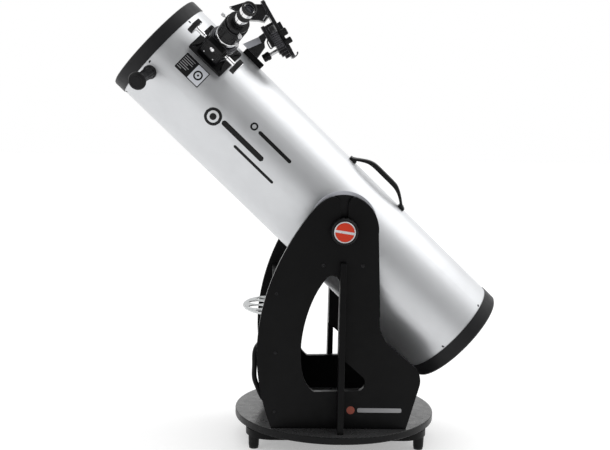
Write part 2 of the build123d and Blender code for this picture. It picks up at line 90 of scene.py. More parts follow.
def radial(phi):
    """Unit vector out from the tube axis; phi 0 is its top line and 90 its near side."""
    phi = radians(phi)
    return tube_up * cos(phi) + near_side * sin(phi)


def on_tube(s, phi):
    """Frame on the tube's axis, s mm along it: local X along the tube, local Z outwards at phi."""
    return axes(pivot + tube_dir * s * MM, tube_dir, radial(phi))


focuser = axes(pivot + tube_dir * focuser_s * MM, tube_dir, focus_dir)
pinion = axes(Vector(joints["focus_knob_turn"]["pos_m"]), focus_dir, tube_dir)


# ---- materials ----
def put(tree, socket, value):
    """Sets an input to a value, or links another node's output to it."""
    if isinstance(value, bpy.types.NodeSocket):
        tree.links.new(value, socket)
    else:
        socket.default_value = value


def fill(tree, node, **inputs):
    """Sets or links inputs by name, with _ for a space."""
    for name, value in inputs.items():
        put(tree, node.inputs[name.replace("_", " ")], value)
    return node


def add(tree, kind, **inputs):
    return fill(tree, tree.nodes.new(kind), **inputs)


def noise(tree, place, scale, detail, roughness=0.55):
    made = add(tree, "ShaderNodeTexNoise", Vector=place, Scale=scale, Detail=detail, Roughness=roughness)
    return made.outputs["Fac"]


def spread(tree, value, low, high, start=0.3, end=0.7):
    """value between start and end becomes low to high."""
    made = add(tree, "ShaderNodeMapRange", Value=value, From_Min=start, From_Max=end, To_Min=low, To_Max=high)
    return made.outputs["Result"]


def mixed(tree, share, first, second):
    made = tree.nodes.new("ShaderNodeMix")
    made.data_type = "RGBA"
    for index, value in ((0, share), (6, first), (7, second)):
        put(tree, made.inputs[index], value)
    return made.outputs[2]


def dot(tree, first, second):
    made = tree.nodes.new("ShaderNodeVectorMath")
    made.operation = "DOT_PRODUCT"
    for socket, value in zip(made.inputs, (first, second)):
        put(tree, socket, value)
    return made.outputs["Value"]


def shade(colour, factor):
    return tuple(min(1.0, channel * factor) for channel in colour[:3]) + (1.0,)


def edge_mask(tree, radius):
    """1 near sharp edges, 0 on flat faces."""
    bevel = add(tree, "ShaderNodeBevel", Radius=radius * MM)
    bevel.samples = 4
    flat = tree.nodes.new("ShaderNodeNewGeometry")
    return spread(tree, dot(tree, bevel.outputs["Normal"], flat.outputs["Normal"]), 1.0, 0.0, 0.86, 0.995)


LOOK = {}


def new_look(name):
    """A material listed in LOOK, as its node tree, its shader and the object's own coordinates."""
    LOOK[name] = bpy.data.materials.new(name)
    LOOK[name].use_nodes = True
    tree = LOOK[name].node_tree
    return tree, tree.nodes["Principled BSDF"], tree.nodes.new("ShaderNodeTexCoord").outputs["Object"]


def surface(name, colour, roughness, metallic=0.0, grain=900.0, depth=0.02, mottle=0.12, rough_spread=0.07,
            edge_wear_and_highlight=0.0, edge_wear_and_highlight_colour=(), coat=0.0, specular=0.5, speckle=0.0):
    """Moulded, painted or metal surface with broad tint changes, patchy gloss, fine grain, and edges lightened in
    patches, partly as wear and partly as a painted edge highlight.
    """
    tree, shader, place = new_look(name)
    broad = spread(tree, noise(tree, place, 9.0, 4.0), 0.0, 1.0)
    tint = mixed(tree, broad, shade(colour, 1 - mottle), shade(colour, 1 + mottle))
    if speckle:
        grains = noise(tree, place, 420.0, 2.0, 0.7)
        tint = mixed(tree, spread(tree, grains, 0.0, speckle, 0.56, 0.72), tint, shade(colour, 2.6))
    # Lighter edges in patches: partly wear, partly a painted highlight along the edges.
    if edge_wear_and_highlight:
        scuff_and_highlight_patches = noise(tree, place, 160.0, 5.0, 0.7)
        mask = tree.nodes.new("ShaderNodeMath")
        mask.operation = "MULTIPLY"
        put(tree, mask.inputs[0], edge_mask(tree, 1.6))
        put(tree, mask.inputs[1], spread(tree, scuff_and_highlight_patches, 0.25 * edge_wear_and_highlight, edge_wear_and_highlight, 0.35, 0.65))
        tint = mixed(tree, mask.outputs[0], tint, shade(edge_wear_and_highlight_colour, 1.0))
    patches = noise(tree, place, 55.0, 4.0)
    gloss = spread(tree, patches, max(0.02, roughness - rough_spread), min(1.0, roughness + rough_spread))
    fine = noise(tree, place, grain, 2.0)
    bump = add(tree, "ShaderNodeBump", Height=fine, Strength=0.6, Distance=depth * MM)
    fill(tree, shader, Base_Color=tint, Roughness=gloss, Normal=bump.outputs["Normal"], Metallic=metallic,
         Specular_IOR_Level=specular, Coat_Weight=coat, Coat_Roughness=0.15)


def brushed(name, colour, roughness, stretch):
    """Turned or drawn metal: hairlines stretched along the axis scaled least."""
    tree, shader, place = new_look(name)
    scaled = add(tree, "ShaderNodeMapping", Vector=place, Scale=stretch)
    lines = noise(tree, scaled.outputs["Vector"], 40.0, 5.0, 0.7)
    smears = spread(tree, noise(tree, place, 30.0, 3.0), 0.0, 1.0)
    tint = mixed(tree, smears, shade(colour, 0.88), shade(colour, 1.06))
    bump = add(tree, "ShaderNodeBump", Height=lines, Strength=0.3, Distance=0.004 * MM)
    gloss = spread(tree, lines, roughness * 0.6, roughness * 1.5)
    fill(tree, shader, Base_Color=tint, Roughness=gloss, Normal=bump.outputs["Normal"], Metallic=1.0)


def mirror_glass(name):
    """Aluminised front surface with a little dust."""
    tree, shader, place = new_look(name)
    dust = noise(tree, place, 700.0, 2.0, 0.8)
    share = spread(tree, dust, 0.0, 0.35, 0.62, 0.75)
    tint = mixed(tree, share, (0.90, 0.91, 0.93, 1.0), (0.62, 0.61, 0.58, 1.0))
    fill(tree, shader, Base_Color=tint, Roughness=spread(tree, dust, 0.02, 0.3, 0.6, 0.75), Metallic=1.0)


def coated_lens(name):
    """Eye lens: dark glass with a faint violet-green coating."""
    tree, shader, place = new_look(name)
    edge = add(tree, "ShaderNodeLayerWeight", Blend=0.35)
    tint = mixed(tree, edge.outputs["Facing"], (0.004, 0.012, 0.014, 1.0), (0.03, 0.01, 0.045, 1.0))
    gloss = spread(tree, noise(tree, place, 120.0, 3.0), 0.02, 0.10)
    fill(tree, shader, Base_Color=tint, Roughness=gloss, IOR=1.35)


surface("laminate", (0.0032, 0.0032, 0.0034), 0.44, grain=1500, depth=0.05, mottle=0.2, rough_spread=0.06,
        edge_wear_and_highlight=0.5, edge_wear_and_highlight_colour=(0.030, 0.030, 0.032), specular=0.11, speckle=0.3)
surface("disc_laminate", (0.040, 0.040, 0.041), 0.30, grain=1300, depth=0.04, mottle=0.2, edge_wear_and_highlight=0.5,
        edge_wear_and_highlight_colour=(0.08, 0.08, 0.08), specular=0.6, speckle=0.3)
surface("edge_band", (0.004, 0.004, 0.0045), 0.32, grain=500, specular=0.14)
surface("silver", (0.62, 0.63, 0.645), 0.40, metallic=0.80, grain=2600, depth=0.012, mottle=0.03,
        rough_spread=0.03, coat=0.10)
surface("tube_inside", (0.006, 0.006, 0.006), 0.85, grain=1800, depth=0.05, specular=0.2)
# Its light bluish edges are a painted highlight on the flange rims.
surface("flange_black", (0.020, 0.020, 0.024), 0.16, metallic=0.5, grain=1600, depth=0.012, edge_wear_and_highlight=0.8,
        edge_wear_and_highlight_colour=(0.28, 0.28, 0.31), specular=0.9)
# Its light bluish-grey edges are a painted highlight.
surface("dock_plastic", (0.008, 0.008, 0.009), 0.28, grain=1100, depth=0.03, edge_wear_and_highlight=1.6,
        edge_wear_and_highlight_colour=(0.16, 0.16, 0.18))
# Light grey that stands for lit faces: a painted highlight.
surface("dock_grey", (0.46, 0.47, 0.51), 0.36, grain=1100, depth=0.03, edge_wear_and_highlight=0.6, edge_wear_and_highlight_colour=(0.60, 0.60, 0.64))
surface("ring_black", (0.011, 0.011, 0.012), 0.46, grain=1100, depth=0.03, edge_wear_and_highlight=0.4,
        edge_wear_and_highlight_colour=(0.06, 0.06, 0.062), specular=0.20)
surface("black_plastic", (0.0035, 0.0035, 0.004), 0.36, grain=1000, depth=0.035, edge_wear_and_highlight=0.35,
        edge_wear_and_highlight_colour=(0.04, 0.04, 0.042), specular=0.18)
surface("grip_plastic", (0.004, 0.004, 0.0045), 0.42, grain=650, depth=0.06, edge_wear_and_highlight=0.3,
        edge_wear_and_highlight_colour=(0.04, 0.04, 0.042), specular=0.2)
surface("anodised", (0.0045, 0.0045, 0.005), 0.25, metallic=0.05, grain=2000, depth=0.012, edge_wear_and_highlight=0.5,
        edge_wear_and_highlight_colour=(0.16, 0.16, 0.17), specular=0.14)
surface("cast_black", (0.003, 0.003, 0.0034), 0.34, grain=750, depth=0.04, edge_wear_and_highlight=0.4,
        edge_wear_and_highlight_colour=(0.09, 0.09, 0.095), specular=0.12)
surface("rubber", (0.010, 0.010, 0.0105), 0.60, grain=1400, depth=0.05, mottle=0.18, specular=0.3)
surface("grey_moulding", (0.74, 0.76, 0.76), 0.45, depth=0.03, edge_wear_and_highlight=0.3, edge_wear_and_highlight_colour=(0.82, 0.84, 0.84))
surface("nylon", (0.72, 0.71, 0.67), 0.40, grain=500, depth=0.03, mottle=0.06)
surface("black_oxide", (0.012, 0.012, 0.014), 0.30, metallic=0.6, grain=1500, edge_wear_and_highlight=0.6,
        edge_wear_and_highlight_colour=(0.16, 0.16, 0.17))
brushed("chrome", (0.86, 0.86, 0.87), 0.13, (1, 1, 1))
brushed("steel", (0.62, 0.62, 0.63), 0.24, (1, 14, 14))
surface("orange", (0.55, 0.032, 0.006), 0.34, grain=300, depth=0.01, mottle=0.06, specular=0.3)
# Silver of the knob badges, also used as the painted highlight on the hood's ribs.
surface("silver_badge_and_painted_highlight", (0.62, 0.63, 0.64), 0.30, metallic=0.6, depth=0.01)
surface("ink_black", (0.004, 0.004, 0.0045), 0.42, grain=700, depth=0.01, specular=0.25)
surface("ink_white", (0.62, 0.64, 0.68), 0.40, grain=700, depth=0.01, mottle=0.04)
surface("ink_grey", (0.28, 0.28, 0.29), 0.45, grain=700, depth=0.01)
surface("ink_orange", (0.30, 0.045, 0.018), 0.45, grain=700, depth=0.01)
surface("floor_paper", (0.72, 0.72, 0.72), 0.7, grain=300, mottle=0.01)
mirror_glass("mirror")
coated_lens("lens")


# ---- pieces ----
def add_object(name, data):
    made = bpy.data.objects.new(name, data)
    bpy.context.scene.collection.objects.link(made)
    return made


def mesh_object(name, bm):
    """Turns bm into an object of the scene."""
    mesh = bpy.data.meshes.new(name)
    bm.to_mesh(mesh)
    bm.free()
    return add_object(name, mesh)


def finish_piece(name, bm, look, body, stands_for=(), crisp=True):
    """Shows bm as a piece on a body. look is one material name, or several for face.material_index."""
    for edge in bm.edges:
        edge.smooth = len(edge.link_faces) == 2 and edge.calc_face_angle(0.0) < CRISP_FROM
    for face in bm.faces:
        face.smooth = True
    piece = mesh_object(name, bm)
    for item in [look] if isinstance(look, str) else look:
        piece.data.materials.append(LOOK[item])
    if crisp:
        modifier = piece.modifiers.new("crisp_faces", "WEIGHTED_NORMAL")
        modifier.keep_sharp = True
    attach(piece, body)
    if stands_for:
        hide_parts(*stands_for)


def stand_in(node, ending, bm, look, crisp=True):
    """Shows bm in place of a CAD node."""
    finish_piece(f"{node}_{ending}", bm, look, body_of[node], (node,), crisp)


def weld(bm):
    """Closes seams and merges the triangles of each flat face."""
    bmesh.ops.remove_doubles(bm, verts=bm.verts, dist=WELD_M)
    bmesh.ops.dissolve_limit(bm, angle_limit=FLAT_BELOW, verts=bm.verts, edges=bm.edges)


def refine(node, look, width, segments=2, choose=None, cutter=None, extra=None):
    """Stands for a CAD node: the same solid with flat faces merged and every sharp edge rounded. cutter is
    carved away first; choose gives each face its material's number; extra is joined on."""
    bm = bmesh.new()
    bm.from_mesh(nodes[node].data)
    weld(bm)
    if cutter:
        bm = carved(bm, cutter)
        weld(bm)
    sharp = [e for e in bm.edges if len(e.link_faces) == 2 and e.calc_face_angle(0.0) > BEVEL_FROM]
    bmesh.ops.bevel(bm, geom=sharp, offset=width * MM, offset_type="OFFSET", segments=segments, profile=0.5,
                    affect="EDGES", clamp_overlap=True)
    if choose:
        for face in bm.faces:
            face.material_index = choose(face)
    if extra:
        merge(bm, extra)
    stand_in(node, "finished", bm, look)


# ---- mesh building ----
def rounded(corners, radius, steps=3):
    """Closed outline with a small arc at each corner."""
    points = []
    for i, corner in enumerate(corners):
        here, before = Vector(corner), Vector(corners[i - 1])
        after = Vector(corners[(i + 1) % len(corners)])
        reach = min(radius, 0.45 * (before - here).length, 0.45 * (after - here).length)
        start = here + (before - here).normalized() * reach
        end = here + (after - here).normalized() * reach
        for k in range(steps + 1):
            t = k / steps
            points.append((1 - t) ** 2 * start + 2 * t * (1 - t) * here + t * t * end)
    return points


def tidy(bm, first):
    """Welds and turns outwards the faces made since face number first."""
    faces = list(bm.faces)[first:]
    verts = list({vert for face in faces for vert in face.verts})
    bmesh.ops.remove_doubles(bm, verts=verts, dist=1e-7)
    bmesh.ops.recalc_face_normals(bm, faces=list(bm.faces)[first:])


def loft(bm, rings, index=0, closed=False):
    """Skin over rings of equally many points; closed joins the last ring to the first."""
    first = len(bm.faces)
    made = [[bm.verts.new(point) for point in ring] for ring in rings]
    count = len(made[0])
    for k in range(len(made) - (0 if closed else 1)):
        here, after = made[k], made[(k + 1) % len(made)]
        for i in range(count):
            j = (i + 1) % count
            face = bm.faces.new((here[i], here[j], after[j], after[i]))
            face.material_index = index
    if not closed:
        for ring in (made[0], made[-1]):
            bm.faces.new(ring).material_index = index
    tidy(bm, first)


def lathe(bm, outline, place, sides, wave=None, index=0):
    """Solid of revolution about local Z. outline is a closed loop of (radius, height), on or off the axis."""
    rings = []
    for k in range(sides):
        angle = 2 * pi * k / sides
        ring = []
        for radius, height in outline:
            reach = radius + (wave(angle, radius, height) if wave and radius > 0 else 0.0)
            point = Vector((reach * cos(angle), reach * sin(angle), height))
            ring.append(place @ (point * MM))
        rings.append(ring)
    loft(bm, rings, index, closed=True)


def ridges(count, depth, low, high, inner):
    """Wave of count rounded grooves between two heights, outside radius inner."""
    def wave(angle, radius, height):
        if radius < inner or not low <= height <= high:
            return 0.0
        return -depth * (0.5 - 0.5 * cos(count * angle)) ** 2
    return wave


def smooth_path(points):
    """Catmull-Rom curve through the points, which may have any number of values."""
    path, steps = [], 8
    padded = [points[0], *points, points[-1]]
    for a, b, c, d in zip(padded, padded[1:], padded[2:], padded[3:]):
        for k in range(steps):
            t = k / steps
            path.append([
                0.5 * (2 * q + (r - p) * t + (2 * p - 5 * q + 4 * r - s) * t * t
                       + (3 * q - p - 3 * r + s) * t ** 3)
                for p, q, r, s in zip(a, b, c, d)
            ])
    path.append(list(points[-1]))
    return path


def grip(bm, points, place, index=0, around=20):
    """Handle swept in local XZ with a squarish section. points are (x, z, half width, half thickness)."""
    path = smooth_path(points)
    squareness = 0.55
    rings = []
    for k, (x, z, half_width, half_depth) in enumerate(path):
        before, after = path[max(0, k - 1)], path[min(len(path) - 1, k + 1)]
        along = Vector((after[0] - before[0], 0, after[1] - before[1])).normalized()
        out = Vector((-along.z, 0, along.x))
        ring = []
        for step in range(around):
            angle = 2 * pi * step / around
            c, s = cos(angle), sin(angle)
            wide = copysign(abs(c) ** squareness, c) * half_width
            deep = copysign(abs(s) ** squareness, s) * half_depth
            ring.append(place @ ((Vector((x, 0, z)) + Y * wide + out * deep) * MM))
        rings.append(ring)
    loft(bm, rings, index)


def coil(bm, radius, wire, length, turns, place):
    """Compression spring up local Z with closed ends."""
    steps = 28 * turns
    rings = []
    for k in range(steps + 1):
        t = k / steps
        rise = min(1.0, max(0.0, (t * turns - 0.8) / (turns - 1.6)))
        angle = 2 * pi * turns * t
        centre = Vector((radius * cos(angle), radius * sin(angle), length * rise))
        out = Vector((cos(angle), sin(angle), 0))
        ring = []
        for step in range(10):
            turn = 2 * pi * step / 10
            bend = out * wire * cos(turn) + Z * wire * sin(turn)
            ring.append(place @ ((centre + bend) * MM))
        rings.append(ring)
    loft(bm, rings)


def box_piece(bm, x, y, z, place, bevel, index=0):
    """Block between limits in mm with rounded edges."""
    made = bmesh.new()
    bmesh.ops.create_cube(made, size=1.0)
    for vert in made.verts:
        limits = zip((x, y, z), vert.co)
        vert.co = Vector(low + (high - low) * (value + 0.5) for (low, high), value in limits) * MM
    bmesh.ops.bevel(made, geom=made.edges[:], offset=bevel * MM, segments=3, profile=0.5, affect="EDGES")
    merge(bm, made, place, index)


def merge(bm, other, place=HERE, index=None):
    """Moves other's faces into bm."""
    found = {vert: bm.verts.new(place @ vert.co) for vert in other.verts}
    for face in other.faces:
        copy = bm.faces.new([found[vert] for vert in face.verts])
        copy.material_index = face.material_index if index is None else index
    other.free()


def carved(body, cutter):
    """body minus cutter, both bmesh, as a new bmesh."""
    objects = [mesh_object("carve_body", body), mesh_object("carve_cutter", cutter)]
    modifier = objects[0].modifiers.new("carve", "BOOLEAN")
    modifier.operation = "DIFFERENCE"
    modifier.object = objects[1]
    evaluated = objects[0].evaluated_get(bpy.context.evaluated_depsgraph_get())
    result = bmesh.new()
    result.from_mesh(evaluated.to_mesh())
    evaluated.to_mesh_clear()
    for made in objects:
        mesh = made.data
        bpy.data.objects.remove(made)
        bpy.data.meshes.remove(mesh)
    return result


def prism(bm, outline, low, high, place, index=0):
    """Straight prism on an outline of (x, y)."""
    rings = [[place @ (Vector((x, y, z)) * MM) for x, y in outline] for z in (low, high)]
    loft(bm, rings, index)


def turned(node, ending, look, outline, place, sides=120, wave=None):
    """Solid of revolution in place of a CAD node."""
    bm = bmesh.new()
    lathe(bm, outline, place, sides, wave)
    stand_in(node, ending, bm, look)


def both_ways(place):
    """place turned round to face the other way, and place itself."""
    return place @ Matrix.Rotation(pi, 4, "X"), place


# ---- what the frame says about turned pieces ----
def islands(node):
    """Vertex places of each separate solid in a CAD node."""
    bm = bmesh.new()
    bm.from_mesh(nodes[node].data)
    bmesh.ops.remove_doubles(bm, verts=bm.verts, dist=WELD_M)
    left = set(bm.verts)
    groups = []
    while left:
        front = [left.pop()]
        group = []
        while front:
            vert = front.pop()
            group.append(vert.co.copy())
            for edge in vert.link_edges:
                other = edge.other_vert(vert)
                if other in left:
                    left.remove(other)
                    front.append(other)
        groups.append(group)
    bm.free()
    return sorted(groups, key=lambda group: tuple(round(v, 4) for v in sum(group, Vector()) / len(group)))


def turned_frames(node, axis=None):
    """For each solid of a CAD node with a head and a shank: its frame with local Z out of the head and origin
    at the top, the head's radius, the head's height and the whole length, in mm."""
    found = []
    for group in islands(node):
        points = np.array(group)
        centre = points.mean(axis=0)
        along = np.array(axis) if axis else np.linalg.svd(points - centre, full_matrices=False)[2][0]
        heights = (points - centre) @ along
        reach = np.linalg.norm(points - centre - np.outer(heights, along), axis=1)
        wide = reach > 0.93 * reach.max()
        if heights[wide].mean() < heights.mean():
            along, heights = -along, -heights
        # The middle of the head's rim, not the mean of all vertices, lies on the centre line.
        top = heights.max()
        rim = points[wide]
        middle = (rim.max(axis=0) + rim.min(axis=0)) / 2
        middle = middle + along * (top - (middle - centre) @ along)
        out = Vector(along)
        place = axes(Vector(middle), out.orthogonal(), out)
        found.append((place, reach.max() / MM, (top - heights[wide].min()) / MM, (top - heights.min()) / MM))
    return found


# ---- fasteners ----
def circle(radius, count, x=0.0, y=0.0):
    """count points round (x, y)."""
    turns = [2 * pi * k / count for k in range(count)]
    return [(x + radius * cos(turn), y + radius * sin(turn)) for turn in turns]


def screw_head(radius, head, socket):
    """Domed head with its top at the origin and a cross or hexagon recess."""
    dome = bmesh.new()
    corners = [(0, -head), (radius, -head), (radius, -0.5 * head), (0.7 * radius, -0.06 * head), (0, 0)]
    lathe(dome, rounded(corners, 0.25 * head), HERE, sides=36)
    cutter = bmesh.new()
    if socket == "cross":
        narrow, wide = 0.13 * radius, 0.58 * radius
        quarter = [(narrow, narrow), (narrow, wide), (-narrow, wide)]
        corners = []
        for k in range(4):
            turn = Matrix.Rotation(k * pi / 2, 2)
            corners += [tuple(turn @ Vector(point)) for point in quarter]
    else:
        corners = circle(0.5 * radius, 6)
    prism(cutter, corners, -0.6 * head, head, HERE)
    return carved(dome, cutter)


def make_screws():
    for node, look, socket in (
        ("tube_screws", "black_oxide", "cross"), ("rocker_screws", "anodised", "hexagon"),
    ):
        bm = bmesh.new()
        for place, radius, head, length in turned_frames(node):
            merge(bm, screw_head(radius, head, socket), place)
            shank = 0.45 * radius
            point = [(0, -length), (shank * 0.6, -length), (shank, -length + 1.5)]
            lathe(bm, [*point, (shank, -head), (0, -head)], place, sides=16)
        stand_in(node, "detailed", bm, look)


def make_thumbscrews():
    """Bright screws with knurled heads."""
    for node in ("drawtube_thumbscrew_1", "drawtube_thumbscrew_2", "adapter_thumbscrew", "shoe_thumbscrew"):
        place, radius, head, length = turned_frames(node)[0]
        shank = 0.41 * radius
        outline = rounded([
            (0, -length), (shank, -length), (shank, -head - 1.6), (shank * 1.7, -head - 1.2),
            (shank * 1.7, -head), (radius * 0.9, -head), (radius, -head + 0.6), (radius, -1.0),
            (radius * 0.86, 0), (radius * 0.5, 0), (radius * 0.42, -0.7), (0, -0.7),
        ], 0.25, 2)
        knurl = ridges(18, 0.5, -head + 0.5, -0.9, radius * 0.95)
        turned(node, "detailed", "steel", outline, place, 144, knurl)


def make_collimation_hardware():
    """Lobed plastic knobs on steel screws, and the coil springs that push the mirror cell forward."""
    for number in (1, 2, 3):
        node = f"collimation_knob_{number}"
        place, radius, head, length = turned_frames(node, tuple(tube_dir))[0]
        bm = bmesh.new()
        knob = rounded([(3.2, -head), (radius * 0.8, -head), (radius, -head + 3), (radius, -2.5),
                        (radius * 0.8, 0), (5.0, 0), (4.4, -1.2), (0, -1.2), (0, -head)], 0.9)
        lathe(bm, knob, place, sides=128, wave=ridges(8, 1.4, -head, 0, radius * 0.75))
        shank = [(0, -length), (2.9, -length), (2.9, -head), (0, -head)]
        lathe(bm, shank, place, sides=32, index=1)
        stand_in(node, "detailed", bm, ("grip_plastic", "steel"))
    bm = bmesh.new()
    low, high = -448.6, -414.4  # the springs' ends, along the tube from the pivot
    for number in (1, 2, 3):
        joint = joints[f"collimation_{number}_turn"]
        centre = Vector(joint["pos_m"])
        centre += tube_dir * (tube_dir.dot(pivot - centre) + low * MM)
        coil(bm, 5.8, 0.95, high - low, 5, axes(centre, tube_up, tube_dir))
    stand_in("collimation_springs", "coiled", bm, "steel", crisp=False)


# ---- tube ----
def wall_side(face):
    """0 on the painted outside of the tube, 1 on its matt inside and bare edges."""
    offset = face.calc_center_median() - pivot
    reach = (offset - tube_dir * offset.dot(tube_dir)).length
    return 0 if reach > (tube_radius - 0.35) * MM else 1


def make_tube():
    refine("tube_shell", ("silver", "tube_inside"), width=0.25, choose=wall_side)
    for node, look, width in (
        ("front_ring", "ring_black", 0.5), ("rear_ring", "ring_black", 0.5), ("spider", "tube_inside", 0.2),
        ("secondary_holder", "anodised", 0.5), ("secondary_mirror", "mirror", 0.25),
        ("primary_mirror", "mirror", 0.8), ("mirror_cell", "cast_black", 0.5),
        ("bearing_brackets", "grip_plastic", 0.8), ("altitude_bearing_discs", "black_plastic", 0.5),
    ):
        refine(node, look, width)


def make_bearing_painted_highlights():
    """Light grey crescents on the bearing discs, painted as a highlight; their round rims are centred above the
    pivot.
    """
    rim_radius, lift, inner = 90.5, 14.7, 91.0
    low, high = 184.6, 188.6
    bm = bmesh.new()
    for side in (-1, 1):
        rings = []
        for k in range(61):
            angle = radians(66 * (k / 30 - 1))
            out = Vector((sin(angle), 0, cos(angle)))
            rim = lift * cos(angle) + sqrt(rim_radius ** 2 - (lift * sin(angle)) ** 2)
            section = rounded([(inner, low), (rim, low), (rim, high), (inner, high)], 0.7, 3)
            rings.append([pivot + (out * point.x + Y * side * point.y) * MM for point in section])
        loft(bm, rings)
    finish_piece("altitude_bearing_painted_highlights", bm, "dock_grey", "optical_tube")


def make_tube_handle():
    place = on_tube(0, handle_phi)
    spine = [
        (101, 157, 12, 4.0), (95, 161, 12, 4.0), (80, 172, 10.5, 4.2), (62, 182.5, 9.5, 5.5),
        (42, 187.5, 9.5, 7.0), (5, 188, 9.8, 7.2), (-34, 187.5, 9.5, 7.0), (-54, 182.5, 9.5, 5.5),
        (-72, 173, 10.5, 4.2), (-88, 162, 12, 4.0), (-96, 157, 12, 4.0),
    ]
    bm = bmesh.new()
    grip(bm, spine, place)
    for low, high in ((86, 108), (-104, -84)):
        box_piece(bm, (low, high), (-12, 12), (151.9, 160.6), place, bevel=2.6)
    for middle in (98, -95):
        for y in (-6.0, 6.0):
            boss = rounded([(0, 158), (4.6, 158), (4.6, 161.0), (3.9, 161.4), (0, 161.4)], 0.3)
            lathe(bm, boss, place @ shift(middle, y, 0), sides=32)
    stand_in("tube_carry_handle", "moulded", bm, "grip_plastic")


def make_steering_knob():
    """Mushroom knob for steering the tube by hand."""
    cap = rounded([
        (0, 236), (15, 234.5), (20, 235), (24.0, 237.5), (24.5, 241), (22.0, 245.6), (17.5, 247), (15.2, 247),
        (14.6, 246.2), (13.8, 246.2), (13.2, 247), (0, 247),
    ], 0.9)
    stem = rounded([
        (0, 150), (19, 150), (19, 157), (17.6, 159), (17.6, 162), (16.4, 164), (14.6, 200), (16.2, 228),
        (16.2, 237), (0, 237),
    ], 1.5)
    place = on_tube(657.0, 113.0)
    bm = bmesh.new()
    lathe(bm, cap, place, sides=96)
    lathe(bm, stem, place, sides=96, wave=ridges(12, 1.1, 165, 226, 14.0))
    stand_in("steering_knob", "turned", bm, "black_plastic")


def tube_point(s, phi, across, height):
    """Point on the tube, across mm round from phi."""
    out = radial(phi + degrees(across / tube_radius))
    return pivot + tube_dir * s * MM + out * height * MM


def tube_sheet(bm, outline, s, phi, layer=0, index=0, steps=10):
    """Thin printed film on the tube, in layers that lie on one another. outline is a length and a function
    that gives the half width along it."""
    length, half_width = outline
    count = max(12, int(length / 3))
    top = tube_radius + 0.10 + 0.06 * layer
    rows = []
    for k in range(count + 1):
        along = length * k / count
        half = half_width(along)
        spots = [half * (2 * step / steps - 1) for step in range(steps + 1)]
        row = [tube_point(s + along, phi, across, top) for across in spots]
        row += [tube_point(s + along, phi, across, tube_radius - 0.05) for across in reversed(spots)]
        rows.append(row)
    loft(bm, rows, index)


def bar(length, width, radius=None):
    """Outline of a bar with rounded ends for tube_sheet."""
    radius = width / 2 if radius is None else radius

    def half(along):
        edge = min(along, length - along)
        if edge >= radius:
            return width / 2
        drop = radius - sqrt(max(0.0, radius * radius - (radius - edge) ** 2))
        return max(0.02, width / 2 - drop)
    return length, half


def tube_discs(bm, s, phi, sizes, first=0):
    """Round films on one another, dark and light by turns, from layer number first."""
    for layer, size in enumerate(sizes, first):
        tube_sheet(bm, bar(size, size), s - size / 2, phi, layer, index=layer % 2)


def make_tube_markings():
    """Plain film on the tube: a rating plate without wording, a ring and three stripes."""
    bm = bmesh.new()
    plate_s, plate_phi, plate_length, plate_width = 539.0, 81.4, 82.0, 51.0
    tube_sheet(bm, bar(plate_length, plate_width, 0.6), plate_s, plate_phi)
    tube_sheet(bm, bar(36.0, plate_width - 5, 0.4), plate_s + 2.5, plate_phi, 1, index=1)
    tube_discs(bm, plate_s + 20.5, plate_phi, (26.0, 17.0, 6.0), first=2)
    line_height, line_pitch = 2.1, 6.0
    for k, length in enumerate((33, 30, 33, 22, 31, 27, 14)):
        phi = plate_phi + degrees((k - 3) * line_pitch / tube_radius)
        line = bar(length, line_height, 0.3)
        tube_sheet(bm, line, plate_s + plate_length - 3 - length, phi, 1, index=2, steps=2)
    inks = ("ink_black", "ink_white", "ink_grey")
    finish_piece("rating_plate", bm, inks, "optical_tube", crisp=False)
    bm = bmesh.new()
    tube_discs(bm, 457.0, 100.2, (49.0, 33.0, 19.0))
    tube_discs(bm, 360.5, 78.5, (22.0, 12.0))
    for start, length, phi, width in ((281, 150, 97.0, 15.0), (219, 146, 106.6, 8.0), (223, 120, 79.0, 10.0)):
        tube_sheet(bm, bar(length, width), start, phi)
    finish_piece("tube_stripes", bm, ("ink_black", "silver"), "optical_tube", crisp=False)


# ---- altitude knobs ----
def make_tension_knobs():
    for side, phi in (("near", 90.0), ("far", -90.0)):
        place = on_tube(0, phi)
        grip_edge = rounded([
            (10.2, 208.9), (30, 208.9), (34.5, 210.5), (37, 214), (37, 228), (34.8, 233.4), (31.5, 235.8),
            (29.2, 235.8), (28.7, 234.6), (28.7, 233.6), (10.2, 233.6),
        ], 0.9)
        knurl = ridges(18, 1.9, 211.0, 232.5, 32.0)
        turned(f"{side}_tension_knob", "moulded", "grip_plastic", grip_edge, place, 216, knurl)

        bm = bmesh.new()
        rim = [
            (0, 233.9), (28.3, 233.9), (28.3, 237.0), (27.2, 237.9), (26.0, 237.9), (25.4, 236.9), (0, 236.9),
        ]
        lathe(bm, rounded(rim, 0.4), place, sides=120)
        slant, half_gap, reach = radians(35), 3.4, 25.0
        start = asin(half_gap / reach)
        for half in (0, pi):
            arc = []
            for k in range(41):
                angle = start + (pi - 2 * start) * k / 40 + slant + half
                arc.append((reach * cos(angle), reach * sin(angle)))
            prism(bm, arc, 236.8, 237.5, place, index=1)
        stand_in(f"{side}_knob_badge", "enamelled", bm, ("silver_badge_and_painted_highlight", "orange"))


# ---- rocker and ground base ----
def board_side(face):
    """0 on the faces of a side panel, 1 on its edge band."""
    return 0 if abs(face.normal.y) > 0.8 else 1


def disc_side(face):
    """0 on the flat faces of the turntable, 1 on its edge."""
    return 0 if abs(face.normal.z) > 0.9 else 1


